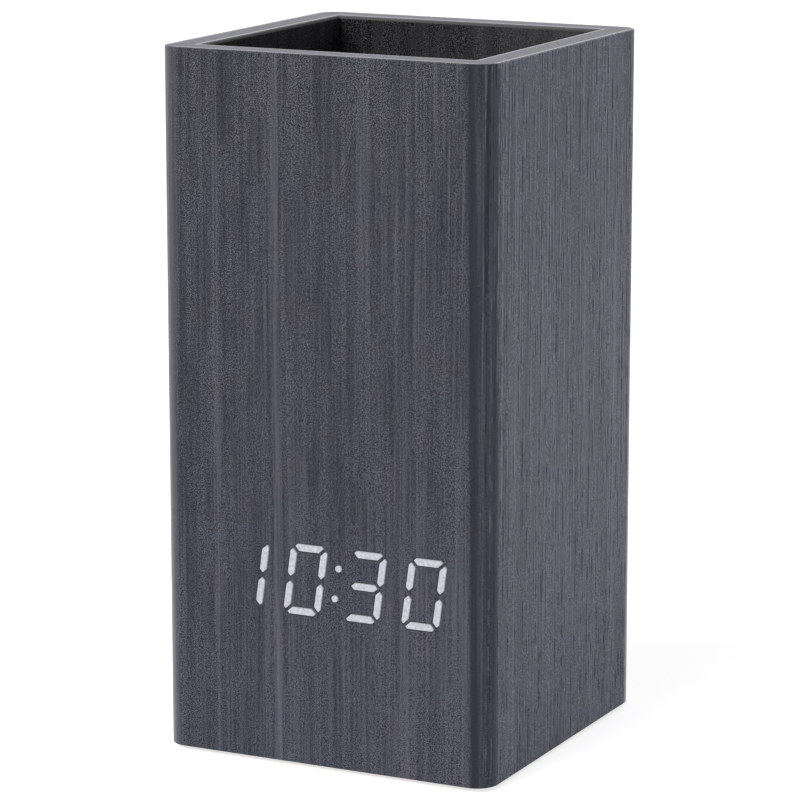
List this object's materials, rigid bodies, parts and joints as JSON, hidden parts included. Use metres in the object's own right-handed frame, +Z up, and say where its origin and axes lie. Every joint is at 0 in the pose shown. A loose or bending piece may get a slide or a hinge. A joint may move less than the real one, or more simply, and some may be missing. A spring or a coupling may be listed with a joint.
{
  "type": "digital desk clock with pen cup",
  "caption": "Tall square desk clock in a dark wood-grain case: an open pen cup above a white LED time display, with buttons, power inlet and hinged battery door at the back.",
  "frame": {"origin": "on the table, in the middle of the case's square outline", "axes": "+Z up, -Y out of the face with the time display, +X to the right of someone who looks at that face"},
  "size_m": [0.08, 0.08, 0.158],
  "materials": {
    "fibreboard": "matte",
    "blackened_board": "matte",
    "wood_grain_skin": "satin",
    "rim_edging": "satin",
    "cup_lining": "matte",
    "screw_steel": "satin",
    "black_screw": "satin",
    "foot_rubber": "matte",
    "mask_plastic": "matte",
    "lit_figures": "satin",
    "dark_figures": "satin",
    "led_package": "gloss",
    "circuit_board": "satin",
    "chip_plastic": "matte",
    "bright_can": "polished",
    "socket_plastic": "satin",
    "ribbon_insulation": "satin",
    "rear_moulding": "matte",
    "button_plastic": "satin",
    "switch_plastic": "matte",
    "plunger_plastic": "satin",
    "sensor_epoxy": "gloss",
    "cell_jacket": "satin",
    "contact_plating": "satin",
    "red_insulation": "satin",
    "black_insulation": "satin"
  },
  "bodies": {
    "case": {"front_panel": "fibreboard", "back_panel": "fibreboard", "left_panel": "fibreboard", "right_panel": "fibreboard", "wood_grain_wrap": "wood_grain_skin", "rim_edging": "rim_edging", "cup_lining": "cup_lining", "cup_floor": "blackened_board", "base_plate": "blackened_board", "front_left_post": "fibreboard", "front_right_post": "fibreboard", "rear_left_post": "fibreboard", "rear_right_post": "fibreboard", "base_screws": "screw_steel", "rubber_feet": "foot_rubber", "segment_mask": "mask_plastic", "hour_tens_segments": "lit_figures", "hour_units_segments": "lit_figures", "colon_dots": "lit_figures", "minute_tens_segments": "lit_figures", "minute_units_segments": "lit_figures", "unlit_segments": "dark_figures", "led_chips": "led_package", "display_board": "circuit_board", "switch_board": "circuit_board", "display_screws": "screw_steel", "switch_board_screws": "screw_steel", "rear_plate_screws": "black_screw", "controller_chip": "chip_plastic", "timing_crystal": "bright_can", "coin_cell_holder": "chip_plastic", "coin_cell": "bright_can", "buzzer": "chip_plastic", "display_ribbon_socket": "socket_plastic", "switch_ribbon_socket": "socket_plastic", "ribbon_cable": "ribbon_insulation", "rear_plate": "rear_moulding", "set_switch": "switch_plastic", "up_switch": "switch_plastic", "down_switch": "switch_plastic", "power_socket_shell": "bright_can", "power_socket_tongue": "chip_plastic", "microphone": "bright_can", "temperature_sensor": "sensor_epoxy", "bottom_cell": "cell_jacket", "middle_cell": "cell_jacket", "top_cell": "cell_jacket", "battery_contact_negative": "contact_plating", "battery_contact_positive": "contact_plating", "battery_bridge_left": "contact_plating", "battery_bridge_right": "contact_plating", "positive_lead": "red_insulation", "negative_lead": "black_insulation"},
    "set_button": {"set_button": "button_plastic", "set_switch_plunger": "plunger_plastic"},
    "up_button": {"up_button": "button_plastic", "up_switch_plunger": "plunger_plastic"},
    "down_button": {"down_button": "button_plastic", "down_switch_plunger": "plunger_plastic"},
    "battery_door": {"battery_door": "rear_moulding"}
  },
  "joints": [
    {"name": "set_button_press", "type": "slide", "parent": "case", "child": "set_button", "axis": [0, -1, 0], "range_m": [0, 0.0005], "stiffness_N_per_m": 1500, "springref_m": -0.0003},
    {"name": "up_button_press", "type": "slide", "parent": "case", "child": "up_button", "axis": [0, -1, 0], "range_m": [0, 0.0005], "stiffness_N_per_m": 1500, "springref_m": -0.0003},
    {"name": "down_button_press", "type": "slide", "parent": "case", "child": "down_button", "axis": [0, -1, 0], "range_m": [0, 0.0005], "stiffness_N_per_m": 1500, "springref_m": -0.0003},
    {"name": "battery_door_hinge", "type": "hinge", "parent": "case", "child": "battery_door", "pos_m": [0, 0.038, 0.0102], "axis": [-1, 0, 0], "range_deg": [0, 100]}
  ]
}
